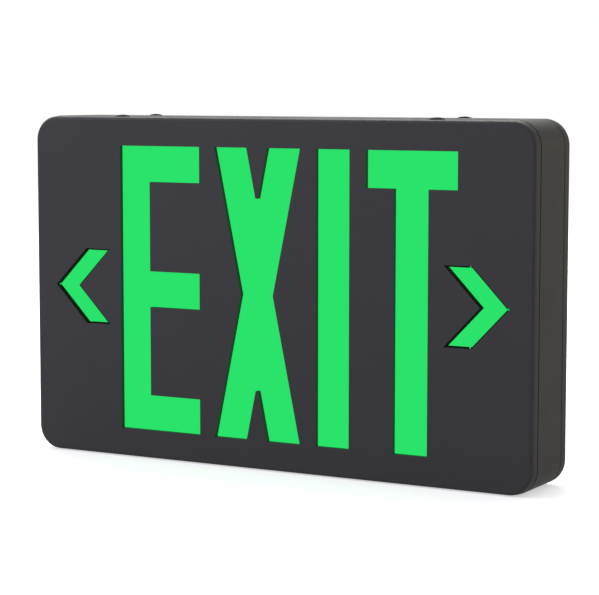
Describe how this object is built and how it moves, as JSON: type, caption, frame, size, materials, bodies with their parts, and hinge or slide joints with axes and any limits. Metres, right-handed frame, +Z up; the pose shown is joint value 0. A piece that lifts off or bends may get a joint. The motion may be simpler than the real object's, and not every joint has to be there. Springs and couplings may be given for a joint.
{
  "type": "emergency exit light",
  "caption": "Shallow black moulded box with a lit green legend and arrows, snap-fit covers, a test button, a battery and lamp boards inside.",
  "frame": {"origin": "middle of the underside, at half the depth", "axes": "+X to the right of a person facing the legend, +Y from the legend to the wall, +Z up"},
  "size_m": [0.2958, 0.0422, 0.1845],
  "materials": {
    "face_plastic": "fine satin, cool black",
    "case_plastic": "fine satin, warm black",
    "green_lens": "lit from behind, even green",
    "white_plastic": "satin white",
    "white_board": "white solder mask",
    "green_board": "green solder mask",
    "lamp_resin": "lamp chips under clear resin",
    "zinc_steel": "zinc plated",
    "core_steel": "laminated core, varnished",
    "coil_tape": "yellow insulating tape",
    "can_sleeve": "dark sleeve with a bright top",
    "relay_case": "blue case",
    "chip_resin": "moulded black resin",
    "fuse_glass": "glass tube with end caps",
    "tinned_brass": "tinned",
    "terminal_plastic": "green terminal case",
    "button_plastic": "red push button",
    "charge_lamp": "clear red dome",
    "battery_sleeve": "blue shrink sleeve",
    "lead_jacket": "red and black insulation"
  },
  "bodies": {
    "housing": {"housing_frame": "case_plastic", "light_tray": "white_plastic", "tray_screws": "zinc_steel", "lamp_board_lower": "white_board", "lamp_board_upper": "white_board", "lamps_lower": "lamp_resin", "lamps_upper": "lamp_resin", "control_board": "green_board", "board_screws": "zinc_steel", "transformer_core": "core_steel", "transformer_coil": "coil_tape", "capacitors": "can_sleeve", "relay": "relay_case", "charger_chip": "chip_resin", "fuse_link": "fuse_glass", "fuse_clips": "tinned_brass", "terminal_block": "terminal_plastic", "lamp_sockets": "white_plastic", "lamp_plugs": "white_plastic", "battery_socket": "white_plastic", "battery_plug": "white_plastic", "test_switch": "chip_resin", "charge_lamp": "charge_lamp", "charge_lamp_holder": "chip_resin", "battery_pack": "battery_sleeve", "battery_cradle": "white_plastic", "battery_leads": "lead_jacket", "lamp_leads": "lead_jacket"},
    "front_cover": {"front_cover": "face_plastic", "green_lens": "green_lens"},
    "back_cover": {"back_cover": "case_plastic"},
    "test_button": {"test_button": "button_plastic"}
  },
  "joints": [
    {"name": "front_cover_pull", "type": "slide", "parent": "housing", "child": "front_cover", "axis": [0, -1, 0], "range_m": [0, 0.05]},
    {"name": "back_cover_pull", "type": "slide", "parent": "housing", "child": "back_cover", "axis": [0, 1, 0], "range_m": [0, 0.05]},
    {"name": "test_press", "type": "slide", "parent": "housing", "child": "test_button", "axis": [0, 0, 1], "range_m": [0, 0.0015], "stiffness_N_per_m": 800, "springref_m": -0.0015}
  ]
}
